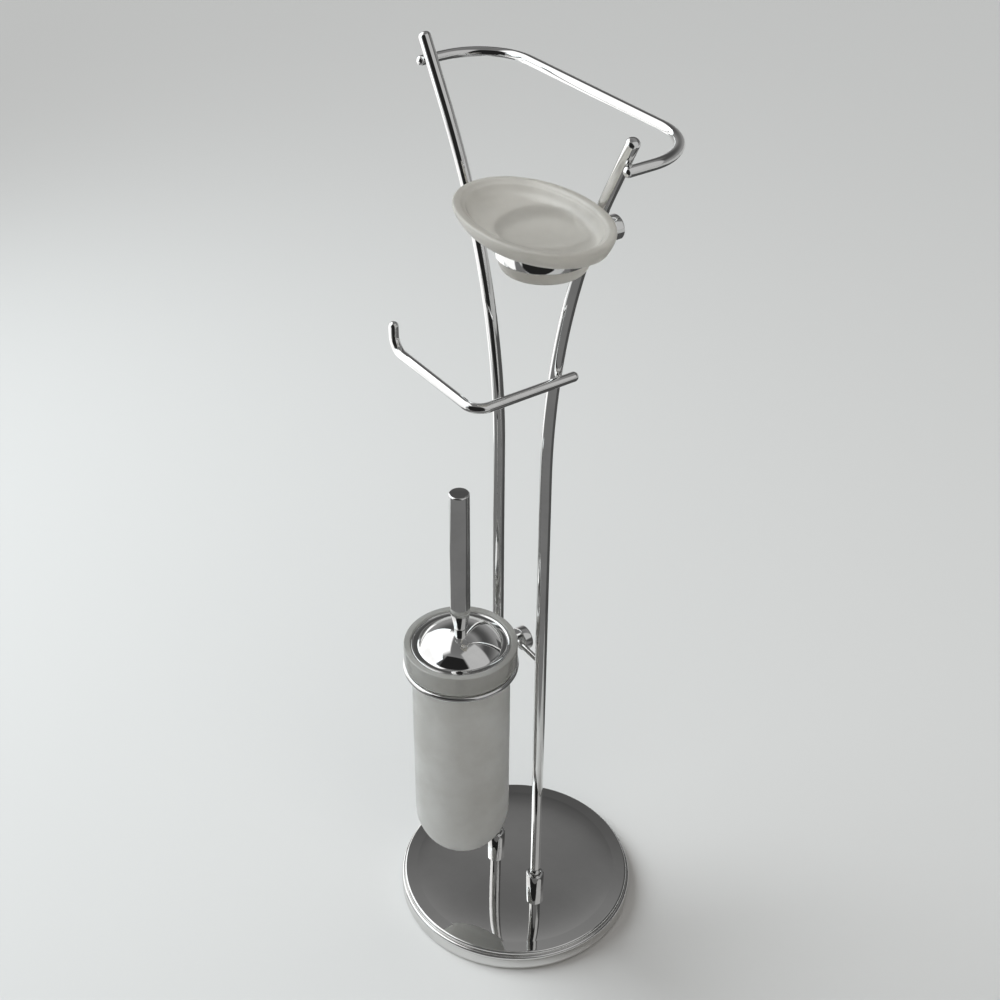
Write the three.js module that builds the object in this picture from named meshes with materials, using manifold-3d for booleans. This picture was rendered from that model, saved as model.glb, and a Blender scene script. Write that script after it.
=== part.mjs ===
// Free-standing toilet accessory stand: a round weighted base, two flared posts, a towel bar,
// a paper holder, a soap dish in a ring and a toilet brush in a frosted glass cup.
// Millimetres, +Z up. The origin is the middle of the underside, +X runs from one post to the
// other and the brush, the soap dish and the paper arm are on the -Y side.
import * as THREE from 'three';
import { mergeVertices } from 'three/addons/utils/BufferGeometryUtils.js';
import Module from 'manifold-3d';

const wasm = await Module();
wasm.setup();

// Clearance left between neighbouring pieces.
const GAP = 0.3;

// Base: spun cover with a double bead, cast disc inside it, rubber pad below.
const BASE_R = 110;
const BASE_H = 20;
const COVER_T = 1.6;
const BEAD_R = 2.1;
const PAD_T = 4;
const PAD_STAND_OFF = 0.9;

// Posts: straight below, one long arc outwards, straight again to a domed tip.
const POST_R = 5;
const POST_HALF_SPACING = 32.2;
const POST_STRAIGHT_Z = 488.4;
const POST_BEND_R = 579;
const POST_FLARE = THREE.MathUtils.degToRad(28.2);
const POST_TOE = THREE.MathUtils.degToRad(4);
const POST_OVER_TOWEL = 17.5;
const COLLAR_R = 8.3;
const COLLAR_H = 18;
const COLLAR_CHAMFER = 1.8;

// Fixing screws, one up into each post.
const SCREW_R = 3;
const SCREW_HEAD_R = 5;
const SCREW_HEAD_H = 4;
const SCREW_GRIP = 16;
const WASHER_R = 7;
const WASHER_T = 1.2;

// Towel bar and paper holder, bent from the same thinner rod.
const BAR_R = 4;
const TOWEL_Z = 786;
const TOWEL_STUB = 3.5;
const TOWEL_REACH = 58;
const TOWEL_BEND_R = 47;
const PAPER_Z = 590.8;
const PAPER_STUB = 9.8;
const PAPER_REACH = 79.5;
const PAPER_ARM = 111;
const PAPER_LIP = 20;
const PAPER_BEND_R = 13;

// Brush ring on its cross rod.
const ROD_R = 2.5;
const ROD_Z = 300;
const RING_Z = 307;
const RING_R = 47;
const RING_WIRE_R = 2.5;
const BRUSH_Y = -60.8;
const BOSS_R = 10.5;
const BOSS_T = 8;

// Soap dish and its ring.
const DISH_STUD_Z = 724;
const POST_CLEAR = 1.1;
const BAND_TOP_R = 34.6;
const BAND_LOW_R = 33.8;
const BAND_T = 2;
const BAND_H = 15;
const BAND_LOW_Z = 721.5;
const DISH_LONG = 67.5;
const DISH_WIDE = 45.6;
const DISH_SHIFT = 1.6;
const DISH_ROUNDNESS = 2.06;
const DISH_RIM_Z = 753.5;
const DISH_BOTTOM_Z = 710.3;
const DISH_FOOT_EDGE = 5;
const DISH_SIDE = 12;
const DISH_TAPER = 5;
const DISH_LIP = 6.5;
const DISH_DEPTH = 11;
const STUD_R = 2.5;
const SPACER_R = 3.2;
const KNOB_R = 9.2;
const KNOB_T = 16.5;

// Brush cup, lid and brush.
const CUP_R = 42.2;
const CUP_WALL = 3.6;
const CUP_RIM_R = 48.2;
const CUP_RIM_H = 20.4;
const CUP_BOTTOM_H = 47;
const CUP_BOTTOM_Z = 94;
const LID_R = 42.3;
const LID_STEP_R = 38.8;
const LID_STEP_H = 0.8;
const LID_DOME_R = 36;
const LID_RISE = 7.7;
const LID_T = 1.4;
const LID_SINK = 1.2;
const HANDLE_R = 8.5;
const HANDLE_H = 120;
const HANDLE_CONE_H = 25;
const HANDLE_TIP_R = 3.6;
const THREAD_R = 2;
const STEM_R = 3.5;
const NUT_R = 5.2;
const NUT_H = 3.6;
const HEAD_R = 7;
const HEAD_LOW_Z = 122;
const HEAD_NECK = 8;
const HEAD_SOCKET = 22;
const HEAD_FOOT = 6;
const SLICE_H = 15.6;
const SLICES = 4;
const SLEEVE_R = 9.2;
const BRISTLE_REACH = 34;
const BRISTLE_ROWS = 5;
const BRISTLES_ROUND = 16;
const BRISTLE_W = 0.75;

// Finishes.
const chrome = { color: 0xd4d6d8, roughness: 0.06, metalness: 1 };
const satinSteel = { color: 0xa9abad, roughness: 0.35, metalness: 1 };
const castIron = { color: 0x3b3b3d, roughness: 0.8, metalness: 0.6 };
const rubber = { color: 0x1d1d1e, roughness: 0.9, metalness: 0 };
const frostedGlass = { color: 0xd9dbd6, roughness: 0.55, metalness: 0 };
const whitePlastic = { color: 0xeeeeec, roughness: 0.45, metalness: 0 };

// Solids and meshes.
function solid(source) {
  const bare = source.clone();
  bare.deleteAttribute('normal');
  bare.deleteAttribute('uv');
  const welded = mergeVertices(bare, 1e-4);
  const place = welded.attributes.position;
  const corners = welded.index.array;
  const faces = [];
  let volume = 0;
  const a = new THREE.Vector3();
  const b = new THREE.Vector3();
  const c = new THREE.Vector3();
  for (let i = 0; i < corners.length; i += 3) {
    const [p, q, r] = [corners[i], corners[i + 1], corners[i + 2]];
    if (p === q || q === r || r === p) {
      continue;
    }
    faces.push(p, q, r);
    a.fromBufferAttribute(place, p);
    b.fromBufferAttribute(place, q);
    c.fromBufferAttribute(place, r);
    volume += a.dot(b.cross(c));
  }
  if (volume < 0) {
    for (let i = 0; i < faces.length; i += 3) {
      [faces[i], faces[i + 1]] = [faces[i + 1], faces[i]];
    }
  }
  return new wasm.Manifold(new wasm.Mesh({
    numProp: 3,
    vertProperties: new Float32Array(place.array),
    triVerts: new Uint32Array(faces),
  }));
}

function piece(name, body, finish) {
  const mesh = body.getMesh();
  const surface = new THREE.BufferGeometry();
  surface.setAttribute('position', new THREE.BufferAttribute(mesh.vertProperties, 3));
  surface.setIndex(new THREE.BufferAttribute(mesh.triVerts, 1));
  surface.computeVertexNormals();
  const made = new THREE.Mesh(surface, new THREE.MeshStandardMaterial(finish));
  made.name = name;
  return made;
}

// Turned solid about a vertical axis, from a profile of [radius, height] pairs.
function turned(profile, sides, x = 0, y = 0, z = 0) {
  const points = profile.map(([r, h]) => new THREE.Vector2(r, h));
  const lathe = new THREE.LatheGeometry(points, sides);
  lathe.rotateX(Math.PI / 2);
  lathe.translate(x, y, z);
  return solid(lathe);
}

// Turned solid about an axis along +Y.
function turnedAlongY(profile, sides, x, y, z) {
  const points = profile.map(([r, h]) => new THREE.Vector2(r, h));
  const lathe = new THREE.LatheGeometry(points, sides);
  lathe.translate(x, y, z);
  return solid(lathe);
}

function rodAlongX(radius, from, to, y, z, sides) {
  const rod = new THREE.CylinderGeometry(radius, radius, to - from, sides);
  rod.rotateZ(Math.PI / 2);
  rod.translate((from + to) / 2, y, z);
  return solid(rod);
}

function rodAlongY(radius, from, to, x, z, sides) {
  const rod = new THREE.CylinderGeometry(radius, radius, to - from, sides);
  rod.translate(x, (from + to) / 2, z);
  return solid(rod);
}

function rodAlongZ(radius, from, to, x, y, sides) {
  const rod = new THREE.CylinderGeometry(radius, radius, to - from, sides);
  rod.rotateX(Math.PI / 2);
  rod.translate(x, y, (from + to) / 2);
  return solid(rod);
}

function arc(cx, cz, radius, fromDeg, toDeg, steps) {
  const points = [];
  for (let i = 0; i <= steps; i += 1) {
    const turn = THREE.MathUtils.degToRad(fromDeg + (toDeg - fromDeg) * i / steps);
    points.push([cx + radius * Math.cos(turn), cz + radius * Math.sin(turn)]);
  }
  return points;
}

// Centre line of a bent rod, with its own stations and directions.
class BentLine extends THREE.Curve {
  constructor() {
    super();
    this.stations = [];
    this.headings = [];
  }

  station(place, heading) {
    this.stations.push(place.clone());
    this.headings.push(heading.clone().normalize());
    return this;
  }

  bend(corner, inward, outward, radius, steps) {
    const into = inward.clone().normalize();
    const out = outward.clone().normalize();
    const start = corner.clone().addScaledVector(into, -radius);
    const centre = start.clone().addScaledVector(out, radius);
    for (let i = 0; i <= steps; i += 1) {
      const turn = Math.PI / 2 * i / steps;
      const place = centre.clone();
      place.addScaledVector(out, -radius * Math.cos(turn));
      place.addScaledVector(into, radius * Math.sin(turn));
      const heading = into.clone().multiplyScalar(Math.cos(turn));
      heading.addScaledVector(out, Math.sin(turn));
      this.station(place, heading);
    }
    return this;
  }

  blend(list, t) {
    const along = t * (list.length - 1);
    const low = Math.min(Math.floor(along), list.length - 2);
    return list[low].clone().lerp(list[low + 1], along - low);
  }

  getPoint(t) {
    return this.blend(this.stations, t);
  }

  getPointAt(t) {
    return this.getPoint(t);
  }

  getTangent(t) {
    return this.blend(this.headings, t).normalize();
  }

  getTangentAt(t) {
    return this.getTangent(t);
  }
}

function bentRod(line, radius, sides) {
  const section = new THREE.Shape();
  section.absarc(0, 0, radius, 0, Math.PI * 2, false);
  const steps = line.stations.length - 1;
  return solid(new THREE.ExtrudeGeometry(section, { steps, curveSegments: sides / 2, extrudePath: line }));
}

// Domed tip for a rod end that points along a heading.
function dome(place, heading, radius, sides) {
  const inner = radius * Math.cos(Math.PI / sides) * 0.995;
  const profile = [[0, -radius], [inner, -radius], ...arc(0, 0, inner, 0, 90, 4)];
  profile[profile.length - 1][0] = 0;
  const points = profile.map(([r, h]) => new THREE.Vector2(r, h));
  const cap = new THREE.LatheGeometry(points, sides);
  const up = new THREE.Vector3(0, 1, 0);
  cap.applyQuaternion(new THREE.Quaternion().setFromUnitVectors(up, heading.clone().normalize()));
  cap.translate(place.x, place.y, place.z);
  return solid(cap);
}

// Closed skin through rings of equal count, with a pole at each end.
function loft(rings, firstPole, lastPole) {
  const count = rings[0].length;
  const places = [firstPole, ...rings.flat(), lastPole];
  const faces = [];
  const at = (ring, i) => 1 + ring * count + (i % count);
  for (let i = 0; i < count; i += 1) {
    faces.push(0, at(0, i + 1), at(0, i));
    faces.push(places.length - 1, at(rings.length - 1, i), at(rings.length - 1, i + 1));
    for (let ring = 0; ring + 1 < rings.length; ring += 1) {
      faces.push(at(ring, i), at(ring, i + 1), at(ring + 1, i + 1));
      faces.push(at(ring, i), at(ring + 1, i + 1), at(ring + 1, i));
    }
  }
  const skin = new THREE.BufferGeometry().setFromPoints(places);
  skin.setIndex(faces);
  return solid(skin);
}

const stand = new THREE.Group();
stand.name = 'toilet_accessory_stand';
const frame = new THREE.Group();
frame.name = 'frame';
const brush = new THREE.Group();
brush.name = 'brush';
stand.add(frame, brush);

// Place of the +X post's centre line at a height: the point and the lean there.
const bendTopZ = POST_STRAIGHT_Z + POST_BEND_R * Math.sin(POST_FLARE);
const postTipZ = TOWEL_Z + POST_OVER_TOWEL;
function postAt(z) {
  const rise = THREE.MathUtils.clamp(z - POST_STRAIGHT_Z, 0, POST_BEND_R * Math.sin(POST_FLARE));
  const lean = Math.asin(rise / POST_BEND_R);
  const past = Math.max(0, z - bendTopZ);
  const out = POST_BEND_R * (1 - Math.cos(lean)) + past * Math.tan(POST_FLARE);
  const x = POST_HALF_SPACING + out * Math.cos(POST_TOE);
  const y = -out * Math.sin(POST_TOE);
  return { x, y, lean };
}

// Base.
const faceZ = BASE_H - 0.4;
const coverInner = BASE_R - COVER_T;
const upperBeadZ = BASE_H - BEAD_R;
const lowerBeadZ = BASE_H - 3 * BEAD_R;
let cover = turned([
  [0, faceZ - COVER_T],
  [coverInner - 5.2, faceZ - COVER_T],
  [coverInner - 2.4, lowerBeadZ + 1],
  [coverInner, lowerBeadZ - 2],
  [coverInner, PAD_STAND_OFF],
  [BASE_R - 0.5, PAD_STAND_OFF],
  [BASE_R - 0.3, PAD_STAND_OFF + 1.4],
  ...arc(BASE_R - BEAD_R, lowerBeadZ, BEAD_R, -8, 84, 4),
  ...arc(BASE_R - BEAD_R * 2.3, upperBeadZ, BEAD_R, 4, 118, 5),
  [BASE_R - BEAD_R * 4.2, faceZ],
  [0, faceZ],
], 42);

const weightLowZ = PAD_T + GAP;
const weightTopZ = faceZ - COVER_T - GAP;
const weightR = coverInner - 5.6;
let weight = turned([
  [0, weightLowZ],
  [weightR, weightLowZ],
  [weightR, weightTopZ - 2],
  [weightR - 2, weightTopZ],
  [0, weightTopZ],
], 40);

const washerLowZ = weightLowZ + GAP + SCREW_HEAD_H + GAP;
const recessTopZ = washerLowZ + WASHER_T + GAP;
const postFootZ = faceZ + GAP;
for (const side of [-1, 1]) {
  const x = side * POST_HALF_SPACING;
  cover = cover.subtract(rodAlongZ(SCREW_R + GAP, 0, BASE_H + 5, x, 0, 16));
  weight = weight.subtract(rodAlongZ(SCREW_R + GAP, 0, BASE_H + 5, x, 0, 16));
  weight = weight.subtract(rodAlongZ(WASHER_R + 2 * GAP, 0, recessTopZ, x, 0, 20));
}
frame.add(piece('base_cover', cover, chrome));
frame.add(piece('base_weight', weight, castIron));

const padR = coverInner - GAP;
const pad = turned([
  [0, 0],
  [padR - 1, 0],
  [padR, 1],
  [padR, PAD_T],
  [0, PAD_T],
], 40);
frame.add(piece('base_pad', pad, rubber));

// Posts, collars and their screws.
const dishPost = postAt(DISH_STUD_Z);
for (const [side, word] of [[-1, 'left'], [1, 'right']]) {
  const flareOut = new THREE.Vector3(side * Math.cos(POST_TOE), -Math.sin(POST_TOE), 0);
  const up = new THREE.Vector3(0, 0, 1);
  const foot = new THREE.Vector3(side * POST_HALF_SPACING, 0, postFootZ);
  const line = new BentLine();
  line.station(foot, up);
  const bendSteps = 18;
  for (let i = 0; i <= bendSteps; i += 1) {
    const lean = POST_FLARE * i / bendSteps;
    const place = new THREE.Vector3(side * POST_HALF_SPACING, 0, POST_STRAIGHT_Z);
    place.addScaledVector(up, POST_BEND_R * Math.sin(lean));
    place.addScaledVector(flareOut, POST_BEND_R * (1 - Math.cos(lean)));
    const heading = up.clone().multiplyScalar(Math.cos(lean)).addScaledVector(flareOut, Math.sin(lean));
    line.station(place, heading);
  }
  const topHeading = line.headings[line.headings.length - 1];
  const tip = line.stations[line.stations.length - 1].clone();
  tip.addScaledVector(topHeading, (postTipZ - tip.z) / topHeading.z);
  line.station(tip, topHeading);
  let post = bentRod(line, POST_R, 16).add(dome(tip, topHeading, POST_R, 16));
  const boreTop = postFootZ + SCREW_GRIP + 2;
  post = post.subtract(rodAlongZ(SCREW_R + GAP, postFootZ - 1, boreTop, foot.x, 0, 16));
  if (side > 0) {
    const reach = POST_R * 2;
    const [from, to] = [dishPost.y - reach, dishPost.y + reach];
    const bore = rodAlongY(STUD_R + GAP, from, to, dishPost.x, DISH_STUD_Z, 16);
    post = post.subtract(bore);
  }
  frame.add(piece(`post_${word}`, post, chrome));

  const collarIn = POST_R + GAP;
  const collar = turned([
    [collarIn, 0],
    [COLLAR_R, 0],
    [COLLAR_R, COLLAR_H - COLLAR_CHAMFER],
    [COLLAR_R - COLLAR_CHAMFER, COLLAR_H],
    [collarIn, COLLAR_H],
    [collarIn, 0],
  ], 24, foot.x, 0, postFootZ);
  frame.add(piece(`collar_${word}`, collar, chrome));

  const headLow = weightLowZ + GAP;
  let screw = turned([
    [0, headLow],
    [SCREW_HEAD_R - 0.6, headLow],
    [SCREW_HEAD_R, headLow + 0.6],
    [SCREW_HEAD_R, headLow + SCREW_HEAD_H],
    [SCREW_R, headLow + SCREW_HEAD_H],
    [SCREW_R, postFootZ + SCREW_GRIP - 1],
    [SCREW_R - 1, postFootZ + SCREW_GRIP],
    [0, postFootZ + SCREW_GRIP],
  ], 16, foot.x, 0, 0);
  screw = screw.subtract(rodAlongZ(SCREW_R * 0.85, 0, headLow + SCREW_HEAD_H * 0.6, foot.x, 0, 6));
  frame.add(piece(`post_screw_${word}`, screw, satinSteel));

  const washer = turned([
    [SCREW_R + GAP, 0],
    [WASHER_R, 0],
    [WASHER_R, WASHER_T],
    [SCREW_R + GAP, WASHER_T],
    [SCREW_R + GAP, 0],
  ], 20, foot.x, 0, washerLowZ);
  frame.add(piece(`post_washer_${word}`, washer, satinSteel));
}

// Towel bar: a flat U on the outer sides of both posts.
const towelPost = postAt(TOWEL_Z);
const towelX = towelPost.x + (POST_R + BAR_R + GAP) / Math.cos(towelPost.lean);
const towelStubY = towelPost.y - TOWEL_STUB;
const plusX = new THREE.Vector3(1, 0, 0);
const plusY = new THREE.Vector3(0, 1, 0);
const plusZ = new THREE.Vector3(0, 0, 1);
const minusX = new THREE.Vector3(-1, 0, 0);
const minusY = new THREE.Vector3(0, -1, 0);
const towelLine = new BentLine();
towelLine.station(new THREE.Vector3(towelX, towelStubY, TOWEL_Z), plusY);
towelLine.bend(new THREE.Vector3(towelX, TOWEL_REACH, TOWEL_Z), plusY, minusX, TOWEL_BEND_R, 10);
towelLine.bend(new THREE.Vector3(-towelX, TOWEL_REACH, TOWEL_Z), minusX, minusY, TOWEL_BEND_R, 10);
towelLine.station(new THREE.Vector3(-towelX, towelStubY, TOWEL_Z), minusY);
let towelBar = bentRod(towelLine, BAR_R, 16);
for (const side of [-1, 1]) {
  towelBar = towelBar.add(dome(new THREE.Vector3(side * towelX, towelStubY, TOWEL_Z), minusY, BAR_R, 16));
}
frame.add(piece('towel_bar', towelBar, chrome));

// Paper holder: rod on the outer side of one post, turned across the front and up at its end.
const paperPost = postAt(PAPER_Z);
const paperX = paperPost.x + (POST_R + BAR_R + GAP) / Math.cos(paperPost.lean);
const paperEndX = paperX - PAPER_ARM;
const paperStubY = paperPost.y + PAPER_STUB;
const paperLine = new BentLine();
paperLine.station(new THREE.Vector3(paperX, paperStubY, PAPER_Z), minusY);
paperLine.bend(new THREE.Vector3(paperX, -PAPER_REACH, PAPER_Z), minusY, minusX, PAPER_BEND_R, 6);
paperLine.bend(new THREE.Vector3(paperEndX, -PAPER_REACH, PAPER_Z), minusX, plusZ, PAPER_BEND_R, 6);
const paperTop = new THREE.Vector3(paperEndX, -PAPER_REACH, PAPER_Z + PAPER_LIP);
paperLine.station(paperTop, plusZ);
let paperHolder = bentRod(paperLine, BAR_R, 16);
paperHolder = paperHolder.add(dome(paperTop, plusZ, BAR_R, 16));
paperHolder = paperHolder.add(dome(new THREE.Vector3(paperX, paperStubY, PAPER_Z), plusY, BAR_R, 16));
frame.add(piece('paper_holder', paperHolder, chrome));

// Cross rod between the posts, with the boss that carries the brush ring.
let crossRod = rodAlongX(ROD_R, -POST_HALF_SPACING, POST_HALF_SPACING, 0, ROD_Z, 16);
for (const side of [-1, 1]) {
  const x = side * POST_HALF_SPACING;
  crossRod = crossRod.subtract(rodAlongZ(POST_R + GAP, ROD_Z - 4 * ROD_R, ROD_Z + 4 * ROD_R, x, 0, 40));
}
frame.add(piece('cross_rod', crossRod, chrome));

const bossZ = (ROD_Z + RING_Z) / 2;
const stemGrip = BOSS_T * 0.65;
let boss = turnedAlongY([
  [0, 0],
  [BOSS_R - 0.5, 0],
  [BOSS_R, 0.5],
  [BOSS_R, BOSS_T - 1],
  [BOSS_R - 1, BOSS_T],
  [0, BOSS_T],
], 28, 0, 0, bossZ);
boss = boss.subtract(rodAlongX(ROD_R + GAP, -2 * BOSS_R, 2 * BOSS_R, 0, ROD_Z, 16));
boss = boss.subtract(rodAlongY(RING_WIRE_R + GAP, -1, stemGrip + GAP, 0, RING_Z, 16));
frame.add(piece('ring_boss', boss, chrome));

const hoop = new THREE.TorusGeometry(RING_R, RING_WIRE_R, 10, 42);
hoop.translate(0, BRUSH_Y, RING_Z);
const ringStem = rodAlongY(RING_WIRE_R, BRUSH_Y + RING_R, stemGrip, 0, RING_Z, 16);
frame.add(piece('brush_ring', solid(hoop).add(ringStem), chrome));

// Dish ring: tapered band with a spacer and a stud through the post, and the knob behind it.
const bandX = dishPost.x;
const postFront = dishPost.y - POST_R - POST_CLEAR;
const bandY = postFront - BAND_TOP_R;
let dishRing = turned([
  [BAND_LOW_R - BAND_T, 0],
  [BAND_LOW_R - 0.4, 0],
  [BAND_LOW_R, 0.4],
  [BAND_TOP_R, BAND_H - 0.4],
  [BAND_TOP_R - 0.4, BAND_H],
  [BAND_TOP_R - BAND_T, BAND_H],
  [BAND_LOW_R - BAND_T, 0],
], 36, bandX, bandY, BAND_LOW_Z);
const bandMidR = (BAND_TOP_R + BAND_LOW_R) / 2 - BAND_T / 2;
const spacerEnd = dishPost.y - POST_R - GAP;
const knobFace = dishPost.y + POST_R + GAP;
const studEnd = knobFace + KNOB_T * 0.7;
dishRing = dishRing.add(rodAlongY(SPACER_R, bandY + bandMidR, spacerEnd, bandX, DISH_STUD_Z, 16));
dishRing = dishRing.add(rodAlongY(STUD_R, spacerEnd - 2, studEnd, bandX, DISH_STUD_Z, 16));
frame.add(piece('dish_ring', dishRing, chrome));

let knob = turnedAlongY([
  [0, 0],
  [KNOB_R - 0.6, 0],
  [KNOB_R, 0.6],
  [KNOB_R, KNOB_T - 1],
  [KNOB_R - 1, KNOB_T],
  [0, KNOB_T],
], 28, bandX, knobFace, DISH_STUD_Z);
knob = knob.subtract(rodAlongY(STUD_R + GAP, knobFace - 1, studEnd + GAP, bandX, DISH_STUD_Z, 16));
frame.add(piece('dish_knob', knob, chrome));

// Soap dish: an oval bowl on a round foot that stands in the band. The foot is behind the
// bowl's middle, so that the bowl clears the post.
const OVAL_SIDES = 40;
const dishX = bandX + DISH_SHIFT;
const dishY = postFront - DISH_WIDE;
function oval(long, wide, z, roundness, back = 0) {
  const middleX = dishX + (bandX - dishX) * back;
  const middleY = dishY + (bandY - dishY) * back;
  const ring = [];
  for (let i = 0; i < OVAL_SIDES; i += 1) {
    const turn = Math.PI * 2 * i / OVAL_SIDES;
    const [c, s] = [Math.cos(turn), Math.sin(turn)];
    const x = long * Math.sign(c) * Math.abs(c) ** (2 / roundness);
    const y = wide * Math.sign(s) * Math.abs(s) ** (2 / roundness);
    ring.push(new THREE.Vector3(middleX + x, middleY + y, z));
  }
  return ring;
}
function footRing(radius, z) {
  return oval(radius, radius, z, 2, 1);
}
function bowlRing(drawnIn, z, back = 0, backDrawnIn = drawnIn) {
  return oval(DISH_LONG - drawnIn, DISH_WIDE - backDrawnIn, z, DISH_ROUNDNESS, back);
}
const seatZ = BAND_LOW_Z + BAND_H;
const seatR = BAND_TOP_R - BAND_T - GAP;
const footR = BAND_LOW_R - BAND_T - GAP;
const sideLowZ = DISH_RIM_Z - DISH_SIDE;
const shelfZ = seatZ + GAP;
const outside = [
  footRing(footR - DISH_FOOT_EDGE, DISH_BOTTOM_Z),
  footRing(footR - DISH_FOOT_EDGE * 0.29, DISH_BOTTOM_Z + DISH_FOOT_EDGE * 0.29),
  footRing(footR, DISH_BOTTOM_Z + DISH_FOOT_EDGE),
  footRing(footR, BAND_LOW_Z),
  footRing(seatR, shelfZ),
  bowlRing(DISH_TAPER * 1.8, shelfZ + (sideLowZ - shelfZ) * 0.47, 0.31, DISH_TAPER * 1.3),
  bowlRing(DISH_TAPER, sideLowZ, 0.12, DISH_TAPER * 0.8),
  bowlRing(DISH_TAPER * 0.48, DISH_RIM_Z - DISH_SIDE * 0.67, 0.04),
  bowlRing(DISH_TAPER * 0.08, DISH_RIM_Z - DISH_SIDE / 3),
  bowlRing(0, DISH_RIM_Z - DISH_SIDE / 6),
  bowlRing(DISH_LIP * 0.16, DISH_RIM_Z),
];
const inside = [
  bowlRing(DISH_LIP, DISH_RIM_Z),
  bowlRing(DISH_LIP * 1.3, DISH_RIM_Z - DISH_DEPTH * 0.24),
  bowlRing(DISH_LIP * 1.7, DISH_RIM_Z - DISH_DEPTH * 0.6),
  bowlRing(DISH_LIP * 2.8, DISH_RIM_Z - DISH_DEPTH * 0.9),
];
const dishFloor = new THREE.Vector3(dishX, dishY, DISH_RIM_Z - DISH_DEPTH);
const dishFoot = new THREE.Vector3(bandX, bandY, DISH_BOTTOM_Z);
stand.add(piece('soap_dish', loft([...outside, ...inside], dishFoot, dishFloor), frostedGlass));

// Brush cup: round-bottomed glass hung in the ring by its thicker rim.
const rimLowZ = RING_Z + RING_WIRE_R + GAP;
const rimTopZ = rimLowZ + CUP_RIM_H;
const bottomMidZ = CUP_BOTTOM_Z + CUP_BOTTOM_H;
function bowl(radius, height, steps) {
  const points = [];
  for (let i = 0; i <= steps; i += 1) {
    const turn = Math.PI / 2 * i / steps;
    points.push([radius * Math.sin(turn), bottomMidZ - height * Math.cos(turn)]);
  }
  return points;
}
const cupIn = CUP_R - CUP_WALL;
const lidSeatZ = rimTopZ - LID_SINK - LID_T - GAP;
const rimIn = LID_R + GAP;
const lip = (CUP_RIM_R - rimIn) / 2;
const cup = turned([
  ...bowl(CUP_R, CUP_BOTTOM_H, 7),
  [CUP_R, rimLowZ],
  [CUP_RIM_R - 1, rimLowZ],
  [CUP_RIM_R, rimLowZ + 1],
  ...arc(CUP_RIM_R - lip, rimTopZ - lip, lip, 0, 180, 6),
  [rimIn, lidSeatZ],
  [cupIn, lidSeatZ],
  ...bowl(cupIn, CUP_BOTTOM_H - CUP_WALL, 6).reverse(),
], 38, 0, BRUSH_Y, 0);
stand.add(piece('brush_cup', cup, frostedGlass));

// Lid: a shallow dome with a flange, clamped between the handle and a nut.
const flangeZ = lidSeatZ + GAP;
const boreR = THREAD_R + GAP;
const domeR = (LID_DOME_R ** 2 + LID_RISE ** 2) / (2 * LID_RISE);
const domeFootZ = flangeZ + LID_T + LID_STEP_H;
function domeAt(r, drop) {
  return domeFootZ + LID_RISE - domeR + Math.sqrt(domeR ** 2 - r ** 2) - drop;
}
const domeTop = [0.95, 0.8, 0.6, 0.4, 0.2].map((k) => [LID_DOME_R * k, domeAt(LID_DOME_R * k, 0)]);
const domeUnder = [0.2, 0.4, 0.6, 0.8].map((k) => [LID_DOME_R * k, domeAt(LID_DOME_R * k, LID_T)]);
const crownZ = domeAt(boreR, 0);
const lid = turned([
  [LID_DOME_R - 2 * LID_T, flangeZ],
  [LID_R - LID_T * 0.3, flangeZ],
  [LID_R, flangeZ + LID_T * 0.3],
  [LID_R, flangeZ + LID_T * 0.7],
  [LID_R - LID_T * 0.3, flangeZ + LID_T],
  [LID_STEP_R, flangeZ + LID_T],
  [LID_STEP_R - LID_STEP_H * 0.5, domeFootZ],
  [LID_DOME_R, domeFootZ],
  ...domeTop,
  [boreR, crownZ],
  [boreR, domeAt(boreR, LID_T)],
  ...domeUnder,
  [LID_DOME_R - 2 * LID_T, flangeZ],
], 34, 0, BRUSH_Y, 0);
brush.add(piece('brush_lid', lid, chrome));

const tipZ = domeAt(0, 0) + GAP;
const gripZ = tipZ + HANDLE_CONE_H;
const handleTopZ = gripZ + HANDLE_H;
const threadTopZ = tipZ + HANDLE_CONE_H * 0.8;
const handle = turned([
  [0, threadTopZ + GAP],
  [boreR, threadTopZ + GAP],
  [boreR, tipZ],
  [HANDLE_TIP_R, tipZ],
  [HANDLE_TIP_R + 0.6, tipZ + HANDLE_CONE_H * 0.22],
  [HANDLE_R, gripZ],
  [HANDLE_R, handleTopZ - 1],
  [HANDLE_R - 1, handleTopZ],
  [0, handleTopZ],
], 28, 0, BRUSH_Y, 0);
brush.add(piece('brush_handle', handle, chrome));

const nutTopZ = domeAt(NUT_R, LID_T) - GAP;
const nutLowZ = nutTopZ - NUT_H;
const nutBody = rodAlongZ(NUT_R, nutLowZ, nutTopZ, 0, BRUSH_Y, 6);
const nut = nutBody.subtract(rodAlongZ(boreR, nutLowZ - 1, nutTopZ + 1, 0, BRUSH_Y, 16));
brush.add(piece('lid_nut', nut, satinSteel));

const headTopZ = HEAD_LOW_Z + SLICES * (SLICE_H + GAP) + HEAD_NECK;
const stemTopZ = nutLowZ - GAP;
const stemGripZ = headTopZ - HEAD_SOCKET;
const stem = turned([
  [0, stemGripZ],
  [STEM_R - 0.6, stemGripZ],
  [STEM_R, stemGripZ + 0.6],
  [STEM_R, stemTopZ],
  [THREAD_R, stemTopZ],
  [THREAD_R, threadTopZ],
  [0, threadTopZ],
], 16, 0, BRUSH_Y, 0);
brush.add(piece('brush_stem', stem, satinSteel));

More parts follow.
